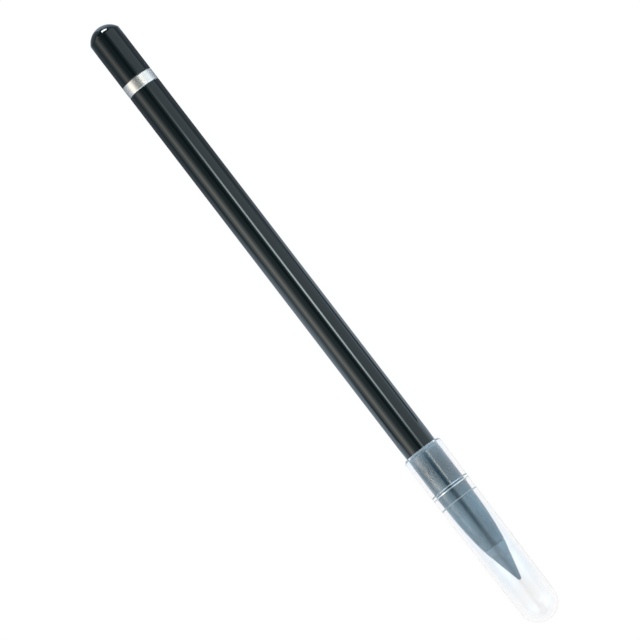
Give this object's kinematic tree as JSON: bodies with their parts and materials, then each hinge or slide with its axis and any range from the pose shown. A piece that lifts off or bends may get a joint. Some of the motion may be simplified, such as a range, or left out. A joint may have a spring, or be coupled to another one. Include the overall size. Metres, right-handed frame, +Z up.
{
  "type": "inkless metal pencil",
  "caption": "Slim round inkless pencil with a gloss-black metal barrel, silver trim ring, screw-in graphite alloy nib and clear push-on cap.",
  "frame": {"origin": "on the barrel's axis, half way along the capped length", "axes": "+X along the axis towards the nib and the clear cap, +Z up with the pencil lying down"},
  "size_m": [0.17, 0.01, 0.01],
  "materials": {
    "barrel_lacquer": "gloss black lacquer",
    "insert_brass": "turned",
    "connector_plastic": "moulded",
    "ring_silver": "polished",
    "holder_plastic": "gloss moulded",
    "graphite_alloy": "fine turned, matt",
    "clear_plastic": "clear moulded"
  },
  "bodies": {
    "barrel": {"barrel_tube": "barrel_lacquer", "thread_insert": "insert_brass", "rear_connector": "connector_plastic", "trim_ring": "ring_silver", "end_cap": "barrel_lacquer"},
    "nib": {"nib_holder": "holder_plastic", "writing_tip": "graphite_alloy"},
    "cap": {"clear_cap": "clear_plastic"}
  },
  "joints": [
    {"name": "nib_unscrew", "type": "slide", "parent": "barrel", "child": "nib", "axis": [1, 0, 0], "range_m": [0, 0.0086]},
    {"name": "cap_pull", "type": "slide", "parent": "barrel", "child": "cap", "axis": [1, 0, 0], "range_m": [0, 0.046]}
  ]
}
